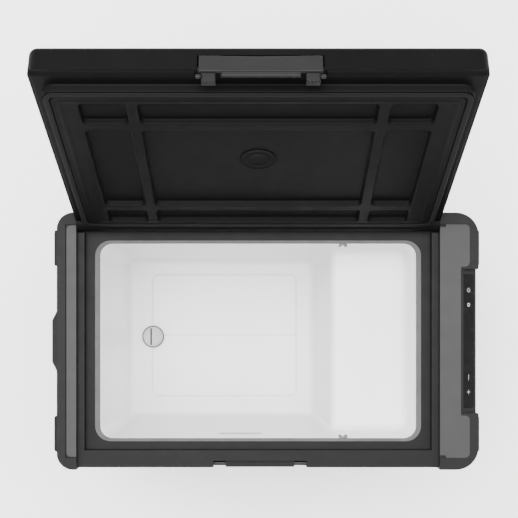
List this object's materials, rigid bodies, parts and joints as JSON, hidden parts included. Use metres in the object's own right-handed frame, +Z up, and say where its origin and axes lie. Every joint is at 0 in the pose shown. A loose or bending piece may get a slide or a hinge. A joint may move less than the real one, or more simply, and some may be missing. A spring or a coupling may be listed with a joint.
{
  "type": "compressor cooler fridge",
  "caption": "Portable chest cooler with a rear-hinged lid standing open, deep white bin with a step over the machine bay, end caps with grips, control strip and front latch.",
  "frame": {"origin": "middle of the standing plane under the four feet", "axes": "+X to the control panel end, +Y to the hinge side at the back, +Z up"},
  "size_m": [0.685, 0.5772, 0.7728],
  "materials": {
    "case_shell": "matte",
    "rim_plastic": "matte",
    "cap_plastic": "matte",
    "strip_plastic": "satin",
    "seal_strip": "matte",
    "liner_plastic": "satin",
    "plug_plastic": "satin",
    "lens_plastic": "satin",
    "lid_plastic": "satin",
    "gasket_rubber": "matte",
    "latch_plastic": "satin",
    "panel_glass": "gloss",
    "foot_rubber": "matte",
    "guide_plastic": "satin",
    "steel": "satin",
    "copper": "satin",
    "aluminium": "satin",
    "compressor_paint": "satin",
    "black_plastic": "matte",
    "board": "satin",
    "foam": "matte"
  },
  "bodies": {
    "case": {"ac_inlet": "black_plastic", "base_pan": "case_shell", "bay_bulkhead": "steel", "compressor": "compressor_paint", "compressor_bolts": "steel", "compressor_mounts": "foot_rubber", "condenser_fins": "aluminium", "condenser_tube": "copper", "control_board": "board", "copper_lines": "copper", "dc_inlet": "black_plastic", "display_module": "panel_glass", "divider_guides": "guide_plastic", "drain_seat": "liner_plastic", "drain_tube": "black_plastic", "dryer_filter": "copper", "evaporator_plate": "aluminium", "fan_frame": "black_plastic", "fan_screws": "steel", "fan_shroud": "steel", "foam_insulation": "foam", "foot_screws": "steel", "hinge_pins": "steel", "inner_liner": "liner_plastic", "inverter_module": "aluminium", "key_switches": "board", "latch_keepers": "steel", "left_bumpers": "cap_plastic", "left_end_cap": "cap_plastic", "left_trim_strip": "strip_plastic", "light_board": "board", "light_lens": "lens_plastic", "line_grommet": "foot_rubber", "opening_trim": "seal_strip", "outer_case": "case_shell", "panel_frame": "cap_plastic", "panel_glass": "panel_glass", "right_bumpers": "cap_plastic", "right_end_cap": "cap_plastic", "right_trim_strip": "strip_plastic", "rim_frame": "rim_plastic", "rubber_feet": "foot_rubber", "suction_line": "copper"},
    "lid": {"lid_outer": "lid_plastic", "lid_inner_panel": "lid_plastic", "lid_foam": "foam", "lid_gasket": "gasket_rubber", "foam_port_cap": "lid_plastic", "hinge_bushes": "steel", "latch_pins": "steel", "latch_springs": "steel"},
    "latch": {"latch_handle": "latch_plastic"},
    "plug": {"drain_plug": "plug_plastic", "plug_seal": "gasket_rubber"},
    "rotor": {"fan_rotor": "black_plastic"},
    "key_light": {"light_key": "panel_glass"},
    "key_settings": {"settings_key": "panel_glass"},
    "key_minus": {"minus_key": "panel_glass"},
    "key_plus": {"plus_key": "panel_glass"}
  },
  "joints": [
    {"name": "lid_hinge", "type": "hinge", "parent": "case", "child": "lid", "pos_m": [0, 0.188, 0.4036], "axis": [1, 0, 0], "range_deg": [0, 113.5]},
    {"name": "latch_pivot", "type": "hinge", "parent": "lid", "child": "latch", "pos_m": [-0.01095, 0.34268, 0.75834], "axis": [-1, 0, 0], "range_deg": [0, 20], "stiffness_Nm_per_rad": 0.2, "springref_deg": -20.05},
    {"name": "plug_lift", "type": "slide", "parent": "case", "child": "plug", "axis": [0, 0, 1], "range_m": [0, 0.03]},
    {"name": "fan_spin", "type": "hinge", "parent": "case", "child": "rotor", "pos_m": [0.2853, -0.1, 0.118], "axis": [1, 0, 0], "continuous": true},
    {"name": "light_key_press", "type": "slide", "parent": "case", "child": "key_light", "axis": [-0.6018, 0, -0.7986], "range_m": [0, 0.0005], "stiffness_N_per_m": 1500, "springref_m": -0.0004},
    {"name": "settings_key_press", "type": "slide", "parent": "case", "child": "key_settings", "axis": [-0.6018, 0, -0.7986], "range_m": [0, 0.0005], "stiffness_N_per_m": 1500, "springref_m": -0.0004},
    {"name": "minus_key_press", "type": "slide", "parent": "case", "child": "key_minus", "axis": [-0.6018, 0, -0.7986], "range_m": [0, 0.0005], "stiffness_N_per_m": 1500, "springref_m": -0.0004},
    {"name": "plus_key_press", "type": "slide", "parent": "case", "child": "key_plus", "axis": [-0.6018, 0, -0.7986], "range_m": [0, 0.0005], "stiffness_N_per_m": 1500, "springref_m": -0.0004}
  ]
}
